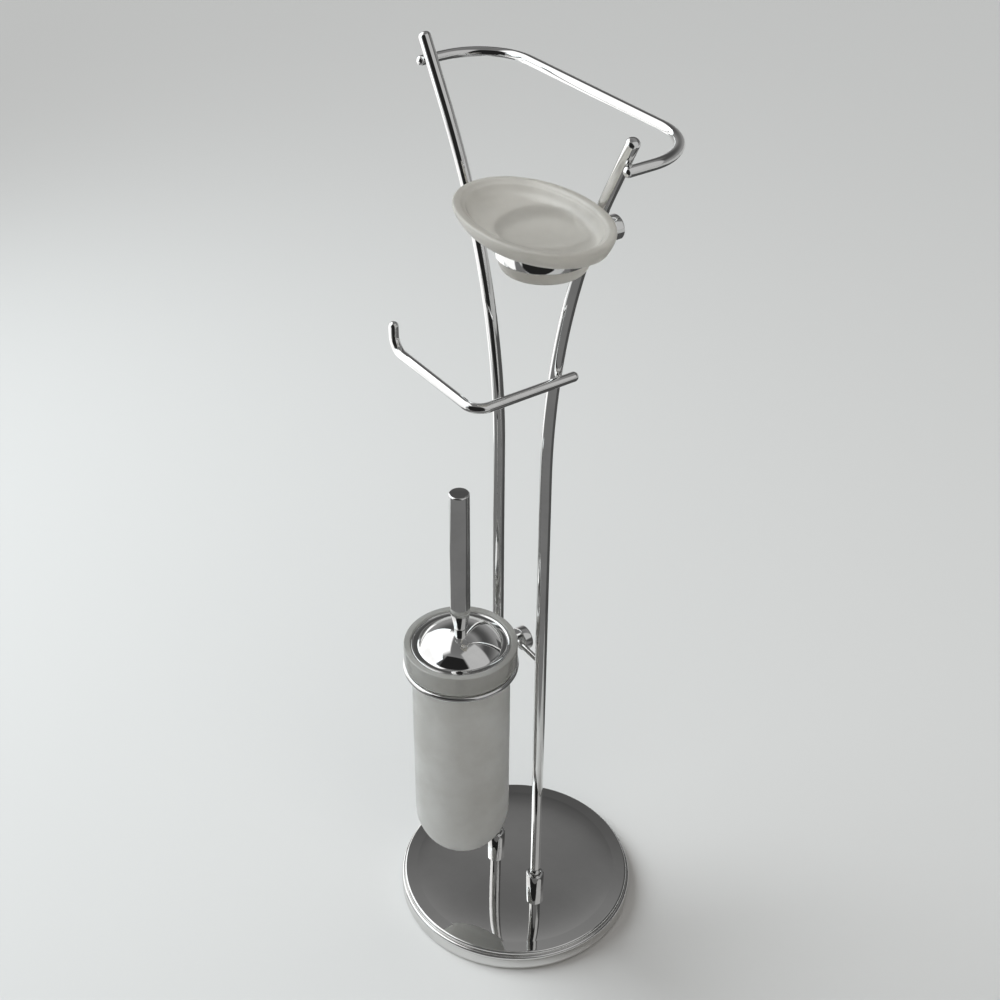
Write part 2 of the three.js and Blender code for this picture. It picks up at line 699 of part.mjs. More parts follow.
// Brush head: moulded core with a foot and a shoulder, four tufted sleeves between them.
const sleeveIn = HEAD_R + GAP;
const shoulderZ = HEAD_LOW_Z + SLICES * (SLICE_H + GAP) + GAP;
const head = turned([
  [0, HEAD_LOW_Z - HEAD_FOOT],
  [SLEEVE_R * 0.6, HEAD_LOW_Z - HEAD_FOOT * 0.85],
  [SLEEVE_R, HEAD_LOW_Z - HEAD_FOOT / 3],
  [SLEEVE_R, HEAD_LOW_Z],
  [HEAD_R, HEAD_LOW_Z],
  [HEAD_R, shoulderZ],
  [SLEEVE_R, shoulderZ],
  [SLEEVE_R, shoulderZ + HEAD_NECK * 0.4],
  [STEM_R * 1.6, headTopZ],
  [STEM_R + GAP, headTopZ],
  [STEM_R + GAP, stemGripZ - GAP],
  [0, stemGripZ - GAP],
], 24, 0, BRUSH_Y, 0);
brush.add(piece('brush_head', head, whitePlastic));

const tuftInR = (sleeveIn + SLEEVE_R) / 2;
for (let slice = 0; slice < SLICES; slice += 1) {
  const lowZ = HEAD_LOW_Z + GAP + slice * (SLICE_H + GAP);
  let sleeve = turned([
    [sleeveIn, 0],
    [SLEEVE_R, 0],
    [SLEEVE_R, SLICE_H],
    [sleeveIn, SLICE_H],
    [sleeveIn, 0],
  ], BRISTLES_ROUND, 0, BRUSH_Y, lowZ);
  const tufts = [];
  for (let row = 0; row < BRISTLE_ROWS; row += 1) {
    const step = slice * BRISTLE_ROWS + row;
    const level = step / (SLICES * BRISTLE_ROWS - 1);
    const droop = THREE.MathUtils.degToRad(-34 * (1 - level) ** 3 + 10 * level ** 4);
    const rounding = 1 - 0.22 * (1 - level) ** 4 - 0.12 * level ** 6;
    const reach = (BRISTLE_REACH * rounding - tuftInR) / Math.cos(droop);
    const z = lowZ + SLICE_H * (row + 0.5) / BRISTLE_ROWS;
    for (let i = 0; i < BRISTLES_ROUND; i += 1) {
      const turn = Math.PI * 2 * (i + (step % 2) / 2) / BRISTLES_ROUND;
      const strand = new THREE.CylinderGeometry(BRISTLE_W * 0.72, BRISTLE_W, reach, 3);
      strand.translate(0, reach / 2, 0);
      strand.rotateZ(-Math.PI / 2 + droop);
      strand.translate(tuftInR, 0, 0);
      strand.rotateX(Math.PI / 2);
      strand.rotateZ(turn);
      strand.translate(0, BRUSH_Y, z);
      tufts.push(solid(strand));
    }
  }
  sleeve = wasm.Manifold.union([sleeve, ...tufts]);
  brush.add(piece(`bristles_${slice + 1}`, sleeve, whitePlastic));
}

export default stand;
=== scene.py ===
import bpy
import bmesh
import math
import random
from mathutils import Matrix, Vector


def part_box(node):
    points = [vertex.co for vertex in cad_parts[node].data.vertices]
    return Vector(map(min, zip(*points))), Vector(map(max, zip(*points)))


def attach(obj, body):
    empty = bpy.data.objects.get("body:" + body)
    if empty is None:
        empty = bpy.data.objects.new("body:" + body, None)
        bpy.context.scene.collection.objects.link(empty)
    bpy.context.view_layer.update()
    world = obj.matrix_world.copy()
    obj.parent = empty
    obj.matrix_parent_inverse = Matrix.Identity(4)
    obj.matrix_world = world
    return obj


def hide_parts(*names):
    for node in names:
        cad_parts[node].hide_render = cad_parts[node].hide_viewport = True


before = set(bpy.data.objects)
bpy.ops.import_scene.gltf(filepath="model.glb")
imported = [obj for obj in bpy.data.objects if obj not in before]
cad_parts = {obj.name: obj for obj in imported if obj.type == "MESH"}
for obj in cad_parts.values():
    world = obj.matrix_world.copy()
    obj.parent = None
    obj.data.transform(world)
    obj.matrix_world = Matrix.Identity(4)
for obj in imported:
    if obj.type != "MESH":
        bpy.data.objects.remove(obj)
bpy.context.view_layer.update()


# Base pad: a moulded black rubber disc with shallow rings on its underside.
# It is glued into the bottom of the base and keeps the metal off the floor.
def start_outline(r, z):
    outline = bmesh.new()
    return outline, bmesh.ops.create_vert(outline, co=(r, 0, z))["vert"][0]


def line_to(outline, tip, *corners):
    for r, z in corners:
        tip = bmesh.ops.extrude_vert_indiv(outline, verts=[tip])["verts"][0]
        tip.co = (r, 0, z)
    return tip


def arc_about(outline, tip, r, z, degrees, steps):
    swept = bmesh.ops.spin(
        outline, geom=[tip], cent=(r, 0, z), axis=(0, -1, 0), dvec=(0, 0, 0),
        angle=math.radians(degrees), steps=steps,
        use_merge=False, use_normal_flip=False, use_duplicate=False,
    )
    return next(g for g in swept["geom_last"] if isinstance(g, bmesh.types.BMVert))


def turn(outline, steps=128, place=(0, 0, 0)):
    bmesh.ops.spin(
        outline, geom=outline.verts[:] + outline.edges[:],
        cent=(0, 0, 0), axis=(0, 0, 1), dvec=(0, 0, 0), angle=2 * math.pi, steps=steps,
        use_merge=True, use_normal_flip=False, use_duplicate=False,
    )
    bmesh.ops.remove_doubles(outline, verts=outline.verts, dist=0.001)
    bmesh.ops.recalc_face_normals(outline, faces=outline.faces)
    bmesh.ops.translate(outline, verts=outline.verts, vec=place)
    return outline


def finish_piece(name, shape, finish, body, slot, *nodes, crease=38):
    bmesh.ops.scale(shape, vec=(0.001, 0.001, 0.001), verts=shape.verts)
    mesh = bpy.data.meshes.new(name)
    shape.to_mesh(mesh)
    shape.free()
    mesh.shade_smooth()
    mesh.set_sharp_from_angle(angle=math.radians(crease))
    mesh.materials.append(finish)
    piece = bpy.data.objects.new(name, mesh)
    bpy.context.scene.collection.objects.link(piece)
    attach(piece, body)
    if nodes:
        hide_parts(*nodes)
    return piece


# The drift group gives any finish a slow change of tone and gloss and a fine grain.
drift = bpy.data.node_groups.new("finish_drift", "ShaderNodeTree")
for socket, kind in (
    ("Scale", "NodeSocketFloat"), ("Grain Scale", "NodeSocketFloat"), ("Depth", "NodeSocketFloat"),
    ("Gloss Low", "NodeSocketFloat"), ("Gloss High", "NodeSocketFloat"),
    ("Tone A", "NodeSocketColor"), ("Tone B", "NodeSocketColor"),
):
    drift.interface.new_socket(socket, in_out="INPUT", socket_type=kind)
for socket, kind in (
    ("Tone", "NodeSocketColor"), ("Roughness", "NodeSocketFloat"), ("Height", "NodeSocketFloat"),
):
    drift.interface.new_socket(socket, in_out="OUTPUT", socket_type=kind)
given = drift.nodes.new("NodeGroupInput")
result = drift.nodes.new("NodeGroupOutput")
where = drift.nodes.new("ShaderNodeTexCoord")
patches = drift.nodes.new("ShaderNodeTexNoise")
patches.inputs["Detail"].default_value = 6
patches.inputs["Roughness"].default_value = 0.62
spread = drift.nodes.new("ShaderNodeMapRange")
spread.interpolation_type = "SMOOTHSTEP"
spread.inputs["From Min"].default_value = 0.36
spread.inputs["From Max"].default_value = 0.68
gloss = drift.nodes.new("ShaderNodeMapRange")
tone = drift.nodes.new("ShaderNodeMix")
tone.data_type = "RGBA"
grain = drift.nodes.new("ShaderNodeTexNoise")
grain.inputs["Detail"].default_value = 3
deep = drift.nodes.new("ShaderNodeMath")
deep.operation = "MULTIPLY"
link = drift.links.new
link(where.outputs["Object"], patches.inputs["Vector"])
link(where.outputs["Object"], grain.inputs["Vector"])
link(given.outputs["Scale"], patches.inputs["Scale"])
link(given.outputs["Grain Scale"], grain.inputs["Scale"])
link(patches.outputs["Fac"], spread.inputs["Value"])
link(spread.outputs["Result"], gloss.inputs["Value"])
link(given.outputs["Gloss Low"], gloss.inputs["To Min"])
link(given.outputs["Gloss High"], gloss.inputs["To Max"])
link(spread.outputs["Result"], tone.inputs["Factor"])
link(given.outputs["Tone A"], tone.inputs["A"])
link(given.outputs["Tone B"], tone.inputs["B"])
link(grain.outputs["Fac"], deep.inputs[0])
link(given.outputs["Depth"], deep.inputs[1])
link(tone.outputs["Result"], result.inputs["Tone"])
link(gloss.outputs["Result"], result.inputs["Roughness"])
link(deep.outputs["Value"], result.inputs["Height"])


def make_finish(name, tones, gloss_range, scale, grain_scale, depth, metallic=0.0):
    finish = bpy.data.materials.new(name)
    finish.use_nodes = True
    tree = finish.node_tree
    shader = tree.nodes["Principled BSDF"]
    shader.inputs["Metallic"].default_value = metallic
    wear = tree.nodes.new("ShaderNodeGroup")
    wear.name = "drift"
    wear.node_tree = drift
    wear.inputs["Scale"].default_value = scale
    wear.inputs["Grain Scale"].default_value = grain_scale
    wear.inputs["Depth"].default_value = depth
    wear.inputs["Gloss Low"].default_value = gloss_range[0]
    wear.inputs["Gloss High"].default_value = gloss_range[1]
    wear.inputs["Tone A"].default_value = (*tones[0], 1)
    wear.inputs["Tone B"].default_value = (*tones[1], 1)
    bump = tree.nodes.new("ShaderNodeBump")
    bump.name = "relief"
    bump.inputs["Strength"].default_value = 1
    bump.inputs["Distance"].default_value = 1
    tree.links.new(wear.outputs["Tone"], shader.inputs["Base Color"])
    tree.links.new(wear.outputs["Roughness"], shader.inputs["Roughness"])
    tree.links.new(wear.outputs["Height"], bump.inputs["Height"])
    tree.links.new(bump.outputs["Normal"], shader.inputs["Normal"])
    return finish


black_rubber = make_finish(
    "black_rubber", ((0.022, 0.022, 0.023), (0.04, 0.04, 0.041)), (0.7, 0.88), 60, 2600, 0.00006
)
pad_top = 4
groove_z = 0.9
pad, tip = start_outline(0, groove_z)
for ring in (22, 44, 66, 88):
    tip = line_to(pad, tip, (ring - 6, groove_z), (ring - 5.2, 0), (ring + 5.2, 0), (ring + 6, groove_z))
tip = line_to(pad, tip, (97, groove_z), (97.8, 0), (106.6, 0))
tip = arc_about(pad, tip, 106.6, 1.5, 90, 6)
line_to(pad, tip, (108.1, pad_top), (0, pad_top))
finish_piece("base_pad_rubber", turn(pad, 144), black_rubber, "frame", "rubber", "base_pad")


# Base weight: a cast iron disc that fills the cover, so that the stand can't tip.
# It is clamped between the cover and the washers of the post screws.
def refinish(finish, *names):
    for name in names:
        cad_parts[name].data.materials.clear()
        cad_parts[name].data.materials.append(finish)


cast_iron = make_finish(
    "cast_iron", ((0.035, 0.035, 0.037), (0.075, 0.072, 0.07)), (0.62, 0.85), 45, 900, 0.0003, 0.6
)
refinish(cast_iron, "base_weight")


# Post screws and washers: zinc-plated steel socket screws with plain washers.
# One goes up through the weight into the foot of each post.
zinc_steel = make_finish(
    "zinc_steel", ((0.58, 0.59, 0.6), (0.46, 0.47, 0.49)), (0.26, 0.42), 90, 1800, 0.00003, 1.0
)
refinish(zinc_steel, "post_screw_left", "post_screw_right", "post_washer_left", "post_washer_right")


# Base cover: spun steel sheet, polished and chrome plated, with two beads and a groove at its edge.
# The spinning leaves the flat top a little dished, which bends what it mirrors.
# The weight and the pad close it from below.
base_r = 110
face_z = 19.95
bead_r = 2.1
upper_bead = base_r - 2.3 * bead_r
lower_bead_z = 13.72
skirt_r = 108.4
skirt_z = 0.9
base_chrome = make_finish(
    "base_chrome", ((0.75, 0.745, 0.735), (0.7, 0.695, 0.685)), (0.012, 0.035), 16, 70, 0.000012, 1.0
)

# The dished top is a relief of dished * r^2 - level_off * r^6 / level_r^4 in metres, as far as dished_r.
dished = 0.4
dished_r = 0.095
level_off = 0.12
level_r = 0.087
nodes, link = base_chrome.node_tree.nodes, base_chrome.node_tree.links.new
where = nodes.new("ShaderNodeTexCoord")
flat = nodes.new("ShaderNodeVectorMath")
flat.operation = "MULTIPLY"
flat.inputs[1].default_value = (1, 1, 0)
square = nodes.new("ShaderNodeVectorMath")
square.operation = "DOT_PRODUCT"
inside = nodes.new("ShaderNodeMath")
inside.operation = "MINIMUM"
inside.inputs[1].default_value = dished_r ** 2
sixth = nodes.new("ShaderNodeMath")
sixth.operation = "POWER"
sixth.inputs[1].default_value = 3
fall = nodes.new("ShaderNodeMath")
fall.operation = "MULTIPLY"
fall.inputs[1].default_value = -level_off / level_r ** 4
rise = nodes.new("ShaderNodeMath")
rise.operation = "MULTIPLY_ADD"
rise.inputs[1].default_value = dished
both = nodes.new("ShaderNodeMath")
both.operation = "ADD"
link(where.outputs["Object"], flat.inputs[0])
link(flat.outputs["Vector"], square.inputs[0])
link(flat.outputs["Vector"], square.inputs[1])
link(square.outputs["Value"], inside.inputs[0])
link(inside.outputs["Value"], sixth.inputs[0])
link(sixth.outputs["Value"], fall.inputs[0])
link(inside.outputs["Value"], rise.inputs[0])
link(fall.outputs["Value"], rise.inputs[2])
link(rise.outputs["Value"], both.inputs[0])
link(nodes["drift"].outputs["Height"], both.inputs[1])
link(both.outputs["Value"], nodes["relief"].inputs["Height"])

cover, tip = start_outline(0, face_z)
tip = line_to(cover, tip, (upper_bead, face_z))
tip = arc_about(cover, tip, upper_bead, face_z - bead_r, -128, 18)
tip = line_to(cover, tip, (106.9, 15.72))
tip = arc_about(cover, tip, base_r - bead_r - 0.12, lower_bead_z, -152, 18)
tip = line_to(cover, tip, (109.2, 11.6), (109.3, 4.7), (109.7, 4.1))
tip = line_to(cover, tip, (109.85, 3.2), (109.85, 1.9), (109.5, skirt_z))
line_to(cover, tip, (skirt_r, skirt_z), (skirt_r, 11.7), (106, 14.7), (103.2, 18), (0, 18))
finish_piece("base_cover_chrome", turn(cover, 200), base_chrome, "frame", "chrome", "base_cover")


# Posts: 10 mm steel rod, straight below and rolled outwards in one long arc, with a ground dome on top.
# They are polished and chrome plated, and each stands on the cover over its screw.
post_r = 5
post_x = 32.2
straight_z = 488.4
roll_r = 579
flare_degrees = 28.2
flare = math.radians(flare_degrees)
roll_rise = roll_r * math.sin(flare)
toe = math.radians(4)
post_foot_z = 19.6
post_tip_z = 803.5
post_dome = post_r * 0.86
post_round = post_r * 0.74
bright_chrome = make_finish(
    "bright_chrome", ((0.77, 0.768, 0.76), (0.71, 0.708, 0.7)), (0.012, 0.04), 34, 160, 0.000008, 1.0
)


def post_at(z):
    lean = math.asin(min(max(z - straight_z, 0), roll_rise) / roll_r)
    past = max(0, z - straight_z - roll_rise)
    out = roll_r * (1 - math.cos(lean)) + past * math.tan(flare)
    return Vector((post_x + out * math.cos(toe), -out * math.sin(toe), z)), lean


def start_rod(radius, place, heading, sides=32):
    rod = bmesh.new()
    stand_up = Vector(heading).to_track_quat("Z", "Y").to_matrix().to_4x4()
    bmesh.ops.create_circle(
        rod, cap_ends=False, segments=sides, radius=radius,
        matrix=Matrix.Translation(place) @ stand_up,
    )
    return rod, rod.edges[:]


def run_on(rod, rim, way):
    grown = bmesh.ops.extrude_edge_only(rod, edges=rim)["geom"]
    ends = {g for g in grown if isinstance(g, bmesh.types.BMVert)}
    bmesh.ops.translate(rod, verts=list(ends), vec=way)
    return [g for g in grown if isinstance(g, bmesh.types.BMEdge) and set(g.verts) <= ends]


def bend(rod, rim, centre, axis, degrees, steps):
    swept = bmesh.ops.spin(
        rod, geom=rim, cent=centre, axis=axis, dvec=(0, 0, 0), angle=math.radians(degrees),
        steps=steps, use_merge=False, use_normal_flip=False, use_duplicate=False,
    )
    return [g for g in swept["geom_last"] if isinstance(g, bmesh.types.BMEdge)]


def close_end(rod, rim, round_off, steps=8):
    bmesh.ops.edgeloop_fill(rod, edges=rim)
    bmesh.ops.bevel(
        rod, geom=rim, offset=round_off, offset_type="OFFSET", segments=steps, profile=0.5,
        affect="EDGES", material=-1, clamp_overlap=False,
    )


for side, word in ((-1, "left"), (1, "right")):
    outward = Vector((side * math.cos(toe), -math.sin(toe), 0))
    foot = Vector((side * post_x, 0, post_foot_z))
    rod, first = start_rod(post_r, foot, (0, 0, 1), 40)
    rim = run_on(rod, first, (0, 0, straight_z - foot.z))
    roll_centre = Vector((foot.x, 0, straight_z)) + outward * roll_r
    rim = bend(rod, rim, roll_centre, Vector((0, 0, 1)).cross(outward), flare_degrees, 56)
    top_heading = Vector((0, 0, math.cos(flare))) + outward * math.sin(flare)
    top_length = (post_tip_z - straight_z - roll_rise) / top_heading.z
    rim = run_on(rod, rim, top_heading * (top_length + post_dome))
    close_end(rod, rim, post_round)
    close_end(rod, first, 0.3, 2)
    bmesh.ops.recalc_face_normals(rod, faces=rod.faces)
    finish_piece(f"post_{word}_rod", rod, bright_chrome, "frame", "chrome", f"post_{word}")


# Collars: turned brass sleeves, chrome plated, that cover the joint of post and base.
# Each is slid over its post and pressed down on to the cover.
collar_r = 8.3
collar_in = 5.1
collar_h = 18
for side, word in ((-1, "left"), (1, "right")):
    collar, tip = start_outline(collar_in, 0)
    tip = line_to(collar, tip, (collar_r - 0.1, 0), (collar_r, 0.1), (collar_r, collar_h - 1))
    tip = line_to(collar, tip, (collar_r - 0.1, collar_h - 0.75), (collar_r - 0.7, collar_h - 0.12))
    tip = line_to(collar, tip, (collar_r - 1, collar_h), (collar_in + 0.4, collar_h))
    line_to(collar, tip, (collar_in, collar_h - 0.4), (collar_in, 0))
    finish_piece(
        f"collar_{word}_sleeve", turn(collar, 72, (side * post_x, 0, face_z)), bright_chrome,
        "frame", "chrome", f"collar_{word}",
    )


# Towel bar: 8 mm steel rod bent to a flat U, with domed stub ends, chrome plated.
# It is brazed to the outer side of both posts, just below their tips.
bar_r = 4
bar_dome = bar_r * 0.96
bar_round = bar_r * 0.93
braze_gap = 0.3
towel_z = 786
towel_reach = 58
towel_bend_r = 47
towel_stub = 3.5
towel_post, towel_lean = post_at(towel_z)
towel_x = towel_post.x + (post_r + bar_r + braze_gap) / math.cos(towel_lean)
towel_end_y = towel_post.y - towel_stub - bar_dome
bend_y = towel_reach - towel_bend_r
rod, first = start_rod(bar_r, (towel_x, towel_end_y, towel_z), (0, 1, 0))
rim = run_on(rod, first, (0, bend_y - towel_end_y, 0))
rim = bend(rod, rim, (towel_x - towel_bend_r, bend_y, towel_z), (0, 0, 1), 90, 28)
rim = run_on(rod, rim, (2 * (towel_bend_r - towel_x), 0, 0))
rim = bend(rod, rim, (towel_bend_r - towel_x, bend_y, towel_z), (0, 0, 1), 90, 28)
rim = run_on(rod, rim, (0, towel_end_y - bend_y, 0))
close_end(rod, rim, bar_round)
close_end(rod, first, bar_round)
bmesh.ops.recalc_face_normals(rod, faces=rod.faces)
finish_piece("towel_bar_rod", rod, bright_chrome, "frame", "chrome", "towel_bar")


def braze(name, post, lean, side):
    seam_x = side * (post.x + (post_r + braze_gap / 2) / math.cos(lean))
    tilt = Matrix.Rotation(side * lean, 3, "Y")
    bead = bmesh.new()
    bmesh.ops.create_icosphere(bead, subdivisions=4, radius=1)
    bmesh.ops.scale(bead, vec=(1.5, 2.7, 3.1), verts=bead.verts)
    bmesh.ops.rotate(bead, cent=(0, 0, 0), matrix=tilt, verts=bead.verts)
    bmesh.ops.translate(bead, verts=bead.verts, vec=(seam_x, post.y, post.z))
    finish_piece(name, bead, bright_chrome, "frame", "chrome")


for side, word in ((-1, "left"), (1, "right")):
    braze(f"towel_braze_{word}", towel_post, towel_lean, side)


# Paper holder: the same 8 mm rod, bent across the front and up at its free end, chrome plated.
# It is brazed to the outer side of the right post.
paper_z = 590.8
paper_reach = 79.5
paper_bend_r = 13
paper_arm = 111
paper_stub = 9.8
paper_lip = 20
paper_post, paper_lean = post_at(paper_z)
paper_x = paper_post.x + (post_r + bar_r + braze_gap) / math.cos(paper_lean)
paper_end_x = paper_x - paper_arm
stub_y = paper_post.y + paper_stub + bar_dome
turn_y = paper_bend_r - paper_reach
rod, first = start_rod(bar_r, (paper_x, stub_y, paper_z), (0, -1, 0))
rim = run_on(rod, first, (0, turn_y - stub_y, 0))
rim = bend(rod, rim, (paper_x - paper_bend_r, turn_y, paper_z), (0, 0, -1), 90, 18)
rim = run_on(rod, rim, (paper_end_x - paper_x + 2 * paper_bend_r, 0, 0))
lip_centre = (paper_end_x + paper_bend_r, -paper_reach, paper_z + paper_bend_r)
rim = bend(rod, rim, lip_centre, (0, 1, 0), 90, 18)
rim = run_on(rod, rim, (0, 0, paper_lip - paper_bend_r + bar_dome))
close_end(rod, rim, bar_round)
close_end(rod, first, bar_round)
bmesh.ops.recalc_face_normals(rod, faces=rod.faces)
finish_piece("paper_holder_rod", rod, bright_chrome, "frame", "chrome", "paper_holder")
braze("paper_braze", paper_post, paper_lean, 1)


# Cross rod and ring boss: a 5 mm rod brazed between the posts, with a turned disc on its middle.
# The disc is bored for the stem of the brush ring. Both are chrome plated.
rod_r = 2.5
rod_half = 28
rod_z = 300
ring_z = 307
rod, first = start_rod(rod_r, (-rod_half, 0, rod_z), (1, 0, 0))
rim = run_on(rod, first, (2 * rod_half, 0, 0))
close_end(rod, rim, 0.2, 2)
close_end(rod, first, 0.2, 2)
bmesh.ops.recalc_face_normals(rod, faces=rod.faces)
finish_piece("cross_rod_bar", rod, bright_chrome, "frame", "chrome", "cross_rod")


def lay_back(shape, place):
    backward = Matrix.Rotation(math.radians(-90), 3, "X")
    bmesh.ops.rotate(shape, cent=(0, 0, 0), matrix=backward, verts=shape.verts)
    bmesh.ops.translate(shape, verts=shape.verts, vec=place)
    return shape


boss_r = 10.5
boss_t = 8
boss, tip = start_outline(0, 0)
tip = line_to(boss, tip, (boss_r - 0.9, 0))
tip = arc_about(boss, tip, boss_r - 0.9, 0.9, 90, 6)
tip = line_to(boss, tip, (boss_r, boss_t - 1.1))
tip = arc_about(boss, tip, boss_r - 1.1, boss_t - 1.1, 90, 6)
tip = line_to(boss, tip, (5.2, boss_t), (4.9, boss_t - 0.3), (4.4, boss_t - 0.3))
line_to(boss, tip, (4.1, boss_t), (0, boss_t))
boss = lay_back(turn(boss, 72), (0, 0, (rod_z + ring_z) / 2))
finish_piece("ring_boss_disc", boss, bright_chrome, "frame", "chrome", "ring_boss")


# Brush ring: 5 mm wire closed to a hoop with a straight stem, brazed and chrome plated.
# The stem is fixed in the boss, and the cup hangs in the hoop by its rim.
def start_stub(shape, radius, place, sides):
    stub = bmesh.ops.create_circle(
        shape, cap_ends=False, segments=sides, radius=radius,
        matrix=Matrix.Translation(place) @ Matrix.Rotation(math.radians(90), 4, "X"),
    )
    rim = list({e for v in stub["verts"] for e in v.link_edges})
    bmesh.ops.edgeloop_fill(shape, edges=rim)
    return rim


def neck(shape, rim, long, size, x, z):
    rim = run_on(shape, rim, (0, long, 0))
    bmesh.ops.scale(
        shape, vec=(size, 1, size), space=Matrix.Translation((-x, 0, -z)),
        verts=list({v for e in rim for v in e.verts}),
    )
    return rim


ring_r = 46.85
brush_y = -60.8
stem_flare = 1.28
flare_y = brush_y + ring_r + 1.2
flare_long = 2.6
stem_end_y = 1
hoop, tip = start_outline(ring_r + rod_r, ring_z)
arc_about(hoop, tip, ring_r, ring_z, 360, 24)
bmesh.ops.remove_doubles(hoop, verts=hoop.verts, dist=0.001)
hoop = turn(hoop, 160, (0, brush_y, 0))
rim = start_stub(hoop, rod_r * stem_flare, (0, flare_y, ring_z), 28)
rim = neck(hoop, rim, flare_long, 1 / stem_flare, 0, ring_z)
rim = run_on(hoop, rim, (0, stem_end_y - flare_y - flare_long, 0))
bmesh.ops.edgeloop_fill(hoop, edges=rim)
bmesh.ops.recalc_face_normals(hoop, faces=hoop.faces)
finish_piece("brush_ring_wire", hoop, bright_chrome, "frame", "chrome", "brush_ring")


# Dish ring: a turned, slightly tapered brass band with a short spacer and a threaded stud, chrome plated.
# The stud goes through the right post, and the knob behind the post holds it.
stud_z = 724
band_top_r = 34.6
band_low_r = 33.8
band_low_z = 721.5
band_high_z = 736.5
band_gap = 1.1
spacer_r = 3.7
spacer_in = 32.8
dish_post, _ = post_at(stud_z)
post_front = dish_post.y - post_r - band_gap
band_x = dish_post.x
band_y = post_front - band_top_r
band, tip = start_outline(band_low_r - 1.9, band_low_z + 0.3)
tip = line_to(band, tip, (band_low_r - 1.6, band_low_z), (band_low_r - 0.5, band_low_z))
tip = arc_about(band, tip, band_low_r - 0.5, band_low_z + 0.5, 87, 4)
tip = line_to(band, tip, (band_top_r - 0.03, band_high_z - 0.6))
tip = arc_about(band, tip, band_top_r - 0.63, band_high_z - 0.6, 90, 5)
tip = line_to(band, tip, (band_top_r - 1.7, band_high_z), (band_top_r - 1.95, band_high_z - 0.3))
line_to(band, tip, (band_low_r - 1.9, band_low_z + 0.3))
band = turn(band, 144, (band_x, band_y, 0))
rim = start_stub(band, spacer_r, (band_x, band_y + spacer_in, stud_z), 32)
rim = neck(band, rim, 1.2, 0.86, band_x, stud_z)
rim = run_on(band, rim, (0, 2, 0))
bmesh.ops.edgeloop_fill(band, edges=rim)
bmesh.ops.recalc_face_normals(band, faces=band.faces)
finish_piece("dish_ring_band", band, bright_chrome, "frame", "chrome", "dish_ring")


# Dish knob: a turned brass nut with rounded edges and a shallow turned face, chrome plated.
# It is screwed on the stud behind the right post.
knob_r = 9.2
knob_t = 16.5
knob_gap = 0.3
knob, tip = start_outline(0, 0)
tip = line_to(knob, tip, (knob_r - 0.7, 0))
tip = arc_about(knob, tip, knob_r - 0.7, 0.7, 90, 5)
tip = line_to(knob, tip, (knob_r, knob_t - 1.5))
tip = arc_about(knob, tip, knob_r - 1.5, knob_t - 1.5, 90, 8)
line_to(knob, tip, (knob_r - 2.6, knob_t), (knob_r - 2.9, knob_t - 0.4), (0, knob_t - 0.6))
knob = lay_back(turn(knob, 80), (band_x, dish_post.y + post_r + knob_gap, stud_z))
finish_piece("dish_knob_nut", knob, bright_chrome, "frame", "chrome", "dish_knob")


# Soap dish: pressed glass, acid etched to a satin white, with a thick rounded lip and a fine step inside.
# Its round foot stands loose in the dish ring.
# The foot is behind the middle of the bowl, so that the bowl clears the post.
def make_glass(name, tones, scale, passing):
    glass = make_finish(name, tones, (0.4, 0.52), scale, 5200, 0.00002)
    shader = glass.node_tree.nodes["Principled BSDF"]
    shader.inputs["Transmission Weight"].default_value = passing
    shader.inputs["IOR"].default_value = 1.5
    return glass


bowl_long = 67.5
bowl_wide = 45.6
bowl_x = band_x + 1.6
bowl_y = post_front - bowl_wide
round_fullness = 2
bowl_fullness = 2.06
frosted_dish = make_glass("frosted_dish", ((0.735, 0.712, 0.665), (0.675, 0.654, 0.61)), 26, 0.75)


def oval(shape, long, wide, z, fullness, back):
    made = bmesh.ops.create_circle(shape, cap_ends=False, segments=56, radius=1)["verts"]
    for v in made:
        x = math.copysign(abs(v.co.x) ** (2 / fullness), v.co.x) * long
        y = math.copysign(abs(v.co.y) ** (2 / fullness), v.co.y) * wide
        v.co = (bowl_x + (band_x - bowl_x) * back + x, bowl_y + (band_y - bowl_y) * back + y, z)
    return list({e for v in made for e in v.link_edges})


def grow_to(shape, rim, long, wide, z, fullness, back):
    grown = oval(shape, long, wide, z, fullness, back)
    bmesh.ops.bridge_loops(shape, edges=rim + grown)
    return grown


dish = bmesh.new()
rim = oval(dish, 14, 14, 710.35, round_fullness, 1)
bmesh.ops.edgeloop_fill(dish, edges=rim)
for r, z in (
    (25, 710.4), (28.2, 711), (30.3, 712.6), (31.3, 715.2), (31.5, 718), (31.5, 721.4),
    (32.2, 735.6), (32.4, 736.5), (34.6, 737),
):
    rim = grow_to(dish, rim, r, r, z, round_fullness, 1)
for inset, inset_wide, z, back in (
    (20, 8, 737.5, 0.62), (9.8, 6.5, 738.5, 0.33), (6.3, 4.7, 740, 0.18), (4.6, 3.7, 742.2, 0.1),
    (2.4, 2.1, 745.8, 0.04), (0.7, 0.7, 749, 0), (0, 0, 751.2, 0), (0.2, 0.2, 752.6, 0),
    (1.2, 1.2, 753.4, 0), (2.8, 2.8, 753.5, 0), (4.8, 4.8, 753.5, 0), (6, 6, 753, 0),
    (6.6, 6.6, 752.1, 0), (7.8, 7.6, 751.5, 0), (8.8, 8.5, 751.2, 0), (9.5, 9.2, 750.3, 0),
    (11, 10.6, 747, 0), (14.5, 13.6, 744.6, 0), (20.5, 17.6, 743.3, 0), (33, 24, 742.7, 0),
    (51, 33.5, 742.55, 0),
):
    rim = grow_to(dish, rim, bowl_long - inset, bowl_wide - inset_wide, z, bowl_fullness, back)
bmesh.ops.edgeloop_fill(dish, edges=rim)
bmesh.ops.recalc_face_normals(dish, faces=dish.faces)
glass_dish = finish_piece(
    "soap_dish_glass", dish, frosted_dish, "dish", "frosted_glass", "soap_dish", crease=180
)
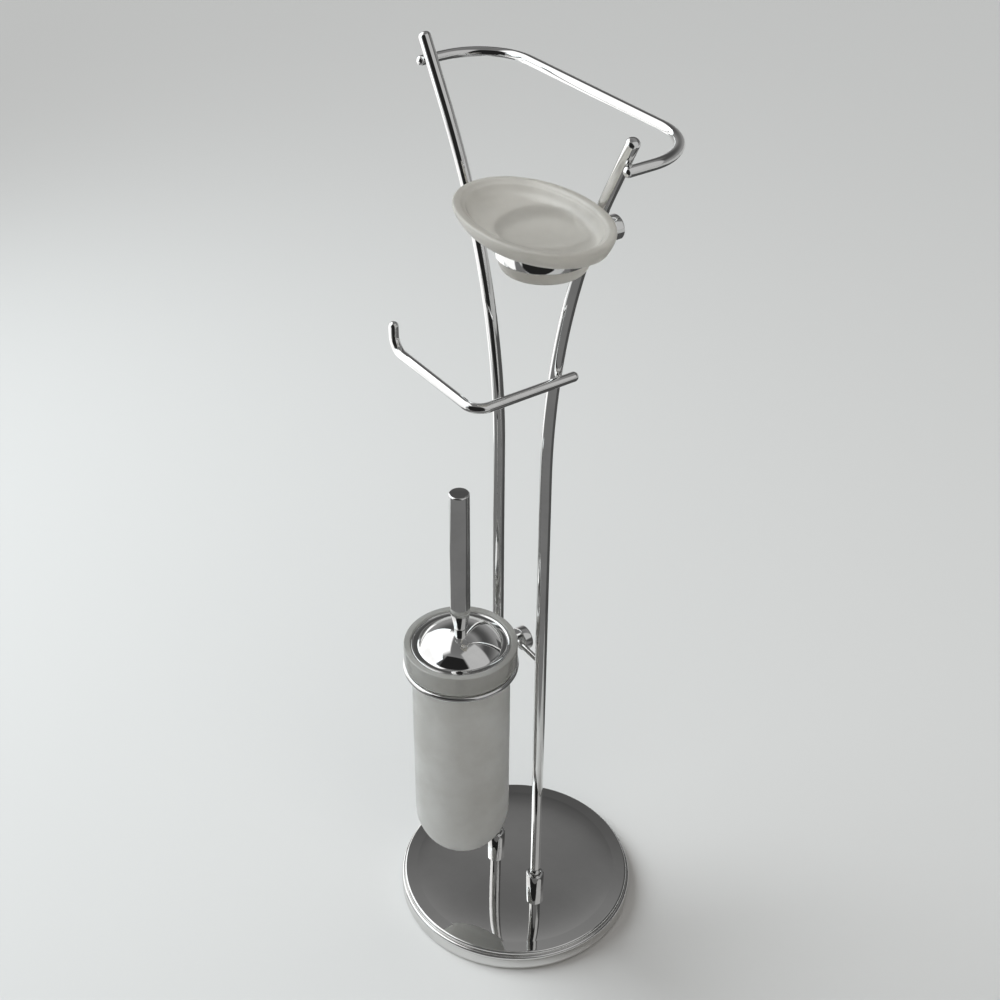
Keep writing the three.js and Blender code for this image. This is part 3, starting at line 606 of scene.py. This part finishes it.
smooth = glass_dish.modifiers.new("rounding", "SUBSURF")
smooth.levels = smooth.render_levels = 2


# Brush cup: blown glass with a round bottom, acid etched to a satin white, with a thicker rim.
# The rim rests on the brush ring, and a shelf inside it carries the lid.
frosted_cup = make_glass("frosted_cup", ((0.85, 0.85, 0.832), (0.735, 0.727, 0.7)), 18, 0.62)

# The thick rim, from rim_low to rim_high in metres, looks darker and has a smoother face.
rim_low = 0.3085
rim_high = 0.312
nodes, link = frosted_cup.node_tree.nodes, frosted_cup.node_tree.links.new
where = nodes.new("ShaderNodeTexCoord")
split = nodes.new("ShaderNodeSeparateXYZ")
thick = nodes.new("ShaderNodeMapRange")
thick.interpolation_type = "SMOOTHSTEP"
thick.inputs["From Min"].default_value = rim_low
thick.inputs["From Max"].default_value = rim_high
shade = nodes.new("ShaderNodeMix")
shade.data_type = "RGBA"
shade.blend_type = "MULTIPLY"
shade.inputs["B"].default_value = (0.7, 0.7, 0.69, 1)
polish = nodes.new("ShaderNodeMix")
polish.inputs["B"].default_value = 0.2
link(where.outputs["Object"], split.inputs["Vector"])
link(split.outputs["Z"], thick.inputs["Value"])
link(thick.outputs["Result"], shade.inputs["Factor"])
link(nodes["drift"].outputs["Tone"], shade.inputs["A"])
link(shade.outputs["Result"], nodes["Principled BSDF"].inputs["Base Color"])
link(thick.outputs["Result"], polish.inputs["Factor"])
link(nodes["drift"].outputs["Roughness"], polish.inputs["A"])
link(polish.outputs["Result"], nodes["Principled BSDF"].inputs["Roughness"])

cup_r = 42.2
cup_in = 38.6
low_z = 141
hollow_deep = 43.4
bottom_deep = 47
shelf_z = 327.3
cup, tip = start_outline(0, low_z - hollow_deep)
tip = arc_about(cup, tip, 0, low_z, 90, 24)
bmesh.ops.scale(cup, vec=(cup_in / hollow_deep, 1, 1), verts=cup.verts)
tip = line_to(cup, tip, (cup_in, shelf_z - 0.4), (cup_in + 0.4, shelf_z), (42.3, shelf_z))
tip = line_to(cup, tip, (42.6, shelf_z + 0.3), (42.6, 329.6))
tip = arc_about(cup, tip, 43.2, 329.6, -90, 5)
tip = line_to(cup, tip, (47.3, 330.2))
tip = arc_about(cup, tip, 47.3, 329.3, -90, 6)
tip = line_to(cup, tip, (48.2, 313.4))
tip = arc_about(cup, tip, 44.6, 313.4, -90, 10)
tip = line_to(cup, tip, (43.8, 309.8))
tip = arc_about(cup, tip, 43.8, 308.2, 90, 6)
tip = line_to(cup, tip, (cup_r, low_z))
drawn = set(cup.verts)
arc_about(cup, tip, 0, low_z, -90, 28)
bmesh.ops.scale(
    cup, vec=(1, 1, bottom_deep / cup_r), space=Matrix.Translation((0, 0, -low_z)),
    verts=[v for v in cup.verts if v not in drawn],
)
cup = turn(cup, 128, (0, brush_y, 0))
finish_piece("brush_cup_glass", cup, frosted_cup, "cup", "frosted_glass", "brush_cup")


# Brush lid: a dome pressed from brass sheet, with a flange that ends in a rolled edge, chrome plated.
# The handle and the nut clamp it through a sleeve inside the dome, so it lifts with the brush.
dome_r = 45
dome_z = 301.2
hole_r = 2.3
crown_z = dome_z + math.sqrt(dome_r ** 2 - hole_r ** 2)
sleeve_r = 5.6
sleeve_z = 335.7
lid, tip = start_outline(hole_r, crown_z)
tip = arc_about(lid, tip, 0, dome_z, -47.77, 44)
tip = arc_about(lid, tip, 37.15, 331.6, 50.7, 8)
tip = line_to(lid, tip, (39.4, 328.6), (40.2, 328.7), (40.6, 329))
tip = arc_about(lid, tip, 41.3, 328.5, -198, 14)
tip = line_to(lid, tip, (37.4, 327.5), (35.6, 328), (34.2, 329.2))
tip = arc_about(lid, tip, 0, dome_z, 42.5, 32)
line_to(lid, tip, (sleeve_r, 344.4), (sleeve_r, sleeve_z), (hole_r, sleeve_z), (hole_r, crown_z))
lid = turn(lid, 144, (0, brush_y, 0))
finish_piece("brush_lid_cap", lid, bright_chrome, "brush", "chrome", "brush_lid")


# Brush handle: turned brass bar with a flat top, a small rounded edge and a cone at its foot.
# It is chrome plated, bored and tapped, and screws down on the stem over the lid.
handle_r = 8.5
handle_top = 482.8
handle_edge = 1.2
handle, tip = start_outline(0, handle_top)
tip = line_to(handle, tip, (handle_r - handle_edge, handle_top))
tip = arc_about(handle, tip, handle_r - handle_edge, handle_top - handle_edge, -90, 8)
tip = line_to(handle, tip, (handle_r, 362), (8.45, 361.5), (8.3, 361), (5.5, 346.7), (5.2, 346.1))
line_to(handle, tip, (2.6, 346.3), (0, 346.4))
handle = turn(handle, 72, (0, brush_y, 0))
finish_piece("brush_handle_bar", handle, bright_chrome, "brush", "chrome", "brush_handle")


# Brush stem and lid nut: a satin steel rod, threaded at its upper end, with a plain hexagon nut.
# The nut holds the lid from below, and the lower end is moulded into the brush head.
refinish(zinc_steel, "lid_nut")
stem_low, stem_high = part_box("brush_stem")
stem_foot = stem_low.z * 1000
thread_end = stem_high.z * 1000 - 1.2
stem_r = 3.5
crest_r = 2
root_r = 1.75
pitch = 0.5
thread_z = 330.6
stem, tip = start_outline(0, stem_foot)
tip = line_to(stem, tip, (stem_r - 0.6, stem_foot), (stem_r, stem_foot + 0.6), (stem_r, 329.8))
tip = line_to(stem, tip, (3.1, 330.4), (root_r, 330.5))
while thread_z < thread_end:
    tip = line_to(stem, tip, (crest_r, thread_z + pitch / 2), (root_r, thread_z + pitch))
    thread_z += pitch
line_to(stem, tip, (0, thread_z + 0.4))
stem = turn(stem, 40, (0, brush_y, 0))
finish_piece("brush_stem_rod", stem, zinc_steel, "brush", "satin_steel", "brush_stem")


# Brush head: an injection-moulded polypropylene core with a rounded foot and a shoulder.
# Four tufted sleeves are clipped on it between the two.
white_plastic = make_finish(
    "white_plastic", ((0.86, 0.86, 0.845), (0.8, 0.8, 0.785)), (0.36, 0.5), 55, 2400, 0.00003
)
head_r = 9.2
core_r = 7
head_low = 122
sleeves = 4
sleeve_h = 15.6
sleeve_gap = 0.3
shoulder_z = head_low + sleeves * (sleeve_h + sleeve_gap) + sleeve_gap
head_top = head_low + sleeves * (sleeve_h + sleeve_gap) + 8
head, tip = start_outline(0, head_low - 6)
tip = line_to(head, tip, (3, 116.1), (5.8, 116.9), (7.8, 118.2), (8.9, 119.8), (head_r, 121.2))
tip = line_to(head, tip, (head_r, 121.8), (9, head_low), (core_r, head_low), (core_r, shoulder_z))
tip = line_to(head, tip, (9, shoulder_z), (head_r, shoulder_z + 0.2), (head_r, shoulder_z + 2.8))
tip = line_to(head, tip, (9, shoulder_z + 3.3), (5.9, head_top - 0.3), (5.4, head_top))
line_to(head, tip, (3.8, head_top), (3.8, head_top - 2), (0, head_top - 2))
head = turn(head, 64, (0, brush_y, 0))
finish_piece("brush_head_core", head, white_plastic, "brush", "white_plastic", "brush_head")


# Bristles: tufts of white nylon filament stapled into four moulded sleeves, trimmed round.
# The tufts lean down at the foot and stand out straight above it.
white_nylon = make_finish(
    "white_nylon", ((0.9, 0.9, 0.885), (0.78, 0.78, 0.76)), (0.28, 0.42), 420, 3000, 0.00001
)
tufting = random.Random(7)
tuft_kinds = 5
filaments = 13
rows = 5
spokes = 16
tuft_in = 8.25
brush_r = 34
foot_droop = 34
top_lift = 10
foot_round = 0.22
top_round = 0.12
sleeve_in = 7.2
tuft_meshes = []
for kind in range(tuft_kinds):
    tuft = bmesh.new()
    for filament in range(filaments):
        length = 1 - 0.05 * tufting.random()
        lean = Matrix.Rotation(tufting.uniform(-0.075, 0.075), 4, "Y")
        sway = Matrix.Rotation(tufting.uniform(-0.085, 0.085), 4, "Z")
        root = Matrix.Translation((0, tufting.uniform(-0.4, 0.4), tufting.uniform(-0.4, 0.4)))
        lie = Matrix.Translation((length / 2, 0, 0)) @ Matrix.Rotation(math.radians(90), 4, "Y")
        bmesh.ops.create_cone(
            tuft, cap_ends=True, segments=4, radius1=0.3, radius2=0.2, depth=length,
            matrix=root @ sway @ lean @ lie,
        )
    mesh = bpy.data.meshes.new(f"tuft_kind_{kind}")
    tuft.to_mesh(mesh)
    tuft.free()
    tuft_meshes.append(mesh)
for number in range(sleeves):
    low = head_low + sleeve_gap + number * (sleeve_h + sleeve_gap)
    high = low + sleeve_h
    sleeve, tip = start_outline(sleeve_in, low)
    tip = line_to(sleeve, tip, (9, low), (head_r, low + 0.2), (head_r, high - 0.2), (9, high))
    line_to(sleeve, tip, (sleeve_in, high), (sleeve_in, low))
    sleeve = turn(sleeve, 48, (0, brush_y, 0))
    for row in range(rows):
        step = number * rows + row
        level = step / (sleeves * rows - 1)
        droop = math.radians(top_lift * level ** 4 - foot_droop * (1 - level) ** 3)
        rounding = 1 - foot_round * (1 - level) ** 4 - top_round * level ** 6
        reach = (brush_r * rounding - tuft_in) / math.cos(droop)
        z = low + sleeve_h * (row + 0.5) / rows
        for spoke in range(spokes):
            angle = 2 * math.pi * (spoke + (step % 2) / 2) / spokes + tufting.uniform(-0.03, 0.03)
            place = (
                Matrix.Translation((0, brush_y, z)) @ Matrix.Rotation(angle, 4, "Z")
                @ Matrix.Translation((tuft_in, 0, 0)) @ Matrix.Rotation(-droop, 4, "Y")
                @ Matrix.Diagonal((reach, 1, 1, 1))
            )
            planted = tufting.choice(tuft_meshes).copy()
            planted.transform(place)
            sleeve.from_mesh(planted)
            bpy.data.meshes.remove(planted)
    finish_piece(
        f"bristle_tufts_{number + 1}", sleeve, white_nylon, "brush", "white_plastic",
        f"bristles_{number + 1}",
    )


# Floor: a plain pale sheet without gloss that takes the soft shadow of the stand.
# It belongs to the studio and not to the object.
floor_shape = bmesh.new()
bmesh.ops.create_circle(floor_shape, cap_ends=True, segments=96, radius=9)
floor_mesh = bpy.data.meshes.new("floor")
floor_shape.to_mesh(floor_mesh)
floor_shape.free()
floor = bpy.data.objects.new("floor", floor_mesh)
bpy.context.scene.collection.objects.link(floor)
floor_paint = bpy.data.materials.new("floor_paint")
floor_paint.use_nodes = True
paint = floor_paint.node_tree.nodes["Principled BSDF"].inputs
paint["Base Color"].default_value = (0.62, 0.62, 0.615, 1)
paint["Roughness"].default_value = 0.9
paint["Specular IOR Level"].default_value = 0
floor_mesh.materials.append(floor_paint)


# Cards: plain sheets in greys and white round the stand, each fading out at its edges.
# Only the mirrors of the chrome see them, as the dark and light parts of a room.
def grey_card(name, middle, facing, width, height, grey, fade=0.08):
    sheet = bmesh.new()
    sheet.loops.layers.uv.new("card")
    bmesh.ops.create_grid(sheet, x_segments=1, y_segments=1, size=0.5, calc_uvs=True)
    bmesh.ops.scale(sheet, vec=(width, height, 1), verts=sheet.verts)
    turn_to = Vector(facing).to_track_quat("Z", "Y").to_matrix()
    bmesh.ops.rotate(sheet, cent=(0, 0, 0), matrix=turn_to, verts=sheet.verts)
    bmesh.ops.translate(sheet, verts=sheet.verts, vec=middle)
    mesh = bpy.data.meshes.new(name)
    sheet.to_mesh(mesh)
    sheet.free()
    paper = bpy.data.materials.new(name)
    paper.use_nodes = True
    nodes, link = paper.node_tree.nodes, paper.node_tree.links.new
    glow = nodes.new("ShaderNodeEmission")
    glow.inputs["Color"].default_value = (grey, grey, grey, 1)
    where = nodes.new("ShaderNodeTexCoord")
    off = nodes.new("ShaderNodeVectorMath")
    off.operation = "SUBTRACT"
    off.inputs[1].default_value = (0.5, 0.5, 0)
    far = nodes.new("ShaderNodeVectorMath")
    far.operation = "ABSOLUTE"
    split = nodes.new("ShaderNodeSeparateXYZ")
    most = nodes.new("ShaderNodeMath")
    most.operation = "MAXIMUM"
    edge = nodes.new("ShaderNodeMapRange")
    edge.interpolation_type = "SMOOTHSTEP"
    edge.inputs["From Min"].default_value = 0.5
    edge.inputs["From Max"].default_value = 0.5 - fade
    clear = nodes.new("ShaderNodeBsdfTransparent")
    soft = nodes.new("ShaderNodeMixShader")
    link(where.outputs["UV"], off.inputs[0])
    link(off.outputs["Vector"], far.inputs[0])
    link(far.outputs["Vector"], split.inputs["Vector"])
    link(split.outputs["X"], most.inputs[0])
    link(split.outputs["Y"], most.inputs[1])
    link(most.outputs["Value"], edge.inputs["Value"])
    link(edge.outputs["Result"], soft.inputs["Fac"])
    link(clear.outputs["BSDF"], soft.inputs[1])
    link(glow.outputs["Emission"], soft.inputs[2])
    link(soft.outputs["Shader"], nodes["Material Output"].inputs["Surface"])
    mesh.materials.append(paper)
    card = bpy.data.objects.new(name, mesh)
    card.visible_camera = False
    card.visible_diffuse = False
    card.visible_shadow = False
    card.visible_transmission = False
    bpy.context.scene.collection.objects.link(card)


to_camera = Vector((0.809, -0.588, 0))
to_right = Vector((0.5635, 0.826, 0))
up = Vector((0, 0, 1))
front_slope = up * 0.64 - to_camera * 0.77
grey_card("front_card", to_camera * 0.315 + up * 0.168, front_slope, 1.7, 0.44, 0.2)
grey_card("front_dark_card", (0.407, -0.442, 0.4), (-0.643, 0.766, 0), 0.87, 0.36, 0.02)
grey_card("right_card", to_right * 0.6 + up * 0.23, -to_right, 1.3, 0.46, 0.09)
grey_card("left_white_card", (-0.74, -0.19, 0.15), (1, 0.25, 0), 0.74, 0.3, 1.5)
grey_card("left_upper_card", (-0.71, -0.3, 0.6), (1, 0.25, 0), 0.5, 0.6, 1.5)
grey_card("upper_white_card", (-0.295, -0.487, 0.46), (0.31, 0.95, 0), 0.484, 0.36, 1.3)
grey_card("camera_dark_card", (0.82, -1.06, 1.45), (-0.63, 0.77, 0), 2.2, 2.55, 0.02, 0.05)
grey_card("right_grey_card", (0.724, 0.229, 1.182), (-0.8, -0.2, -0.58), 1.15, 1.5, 0.6, 0.12)
grey_card("upper_key_card", (-0.675, -0.39, 1.727), (0.86, 0.76, -0.66), 1.9, 0.8, 1.5, 0.2)
grey_card("right_floor_card", (0.3, 0.66, 0.003), (0, 0, 1), 1.3, 1.08, 0.08)
grey_card("left_floor_card", (-0.32, -0.48, 0.003), (0, 0, 1), 0.55, 0.74, 0.2)


# Lights: a large soft box on the left, a small one behind, and two wide lights to fill the shadows.
# Only the box on the left shows in the chrome.
def soft_box(name, place, aim, width, height, glow, colour):
    lamp = bpy.data.lights.new(name, "AREA")
    lamp.shape = "RECTANGLE"
    lamp.size = width
    lamp.size_y = height
    lamp.energy = glow * math.pi * width * height
    lamp.color = colour
    box = bpy.data.objects.new(name, lamp)
    box.location = place
    box.rotation_euler = (Vector(aim) - Vector(place)).to_track_quat("-Z", "Y").to_euler()
    bpy.context.scene.collection.objects.link(box)
    return box


aim = (0, -0.06, 0.33)
soft_box("key_box", (-0.926, -0.745, 0.99), aim, 2.0, 1.3, 1.63, (0.9, 0.97, 1))
back_box = soft_box("back_box", (-0.02, 0.72, 1.6), aim, 0.95, 0.65, 0.8, (1, 0.96, 0.91))
back_box.visible_glossy = False


def wide_light(name, heading, strength, spread, colour):
    lamp = bpy.data.lights.new(name, "SUN")
    lamp.energy = strength
    lamp.angle = math.radians(spread)
    lamp.color = colour
    sky = bpy.data.objects.new(name, lamp)
    sky.rotation_euler = Vector(heading).to_track_quat("-Z", "Y").to_euler()
    sky.visible_glossy = False
    bpy.context.scene.collection.objects.link(sky)


wide_light("left_light", (0.58, 0.405, -0.7), 2.3, 40, (0.95, 0.985, 1))
wide_light("front_light", (-0.8, 0.45, -0.9), 0.7, 60, (1, 0.95, 0.88))


# Room: soft greys by height, light at the horizon, dark halfway up and lighter again above that.
# It lights the stand faintly and fills the gaps between the cards in the chrome.
room = bpy.data.worlds.new("room")
bpy.context.scene.world = room
room.use_nodes = True
nodes, link = room.node_tree.nodes, room.node_tree.links.new
where = nodes.new("ShaderNodeTexCoord")
split = nodes.new("ShaderNodeSeparateXYZ")
height = nodes.new("ShaderNodeValToRGB")
greys = height.color_ramp.elements
greys[0].position = 0.0
greys[0].color = (0.35, 0.35, 0.35, 1)
greys[1].position = 1.0
greys[1].color = (0.19, 0.19, 0.19, 1)
for position, grey in (
    (0.2, 0.3), (0.45, 0.13), (0.55, 0.09), (0.66, 0.09),
    (0.71, 0.125), (0.76, 0.2), (0.82, 0.29), (0.92, 0.22),
):
    greys.new(position).color = (grey, grey, grey, 1)
link(where.outputs["Generated"], split.inputs["Vector"])
link(split.outputs["Z"], height.inputs["Fac"])
link(height.outputs["Color"], nodes["Background"].inputs["Color"])
nodes["Background"].inputs["Strength"].default_value = 1


# Camera: it stands where the picture of the stand was taken from.
# Its place, turn, lens and shift come from a fit to the outlines of the posts and the round edges.
lens = bpy.data.cameras.new("camera")
lens.lens = 57.26
lens.sensor_width = 36
lens.shift_x = 0.01737
lens.shift_y = -0.02004
camera = bpy.data.objects.new("camera", lens)
camera.location = (0.8595, -0.6247, 1.2015)
camera.rotation_euler = (math.radians(55.51), 0, math.radians(55.7))
bpy.context.scene.collection.objects.link(camera)
bpy.context.scene.camera = camera
bpy.context.scene.view_settings.view_transform = "Standard"
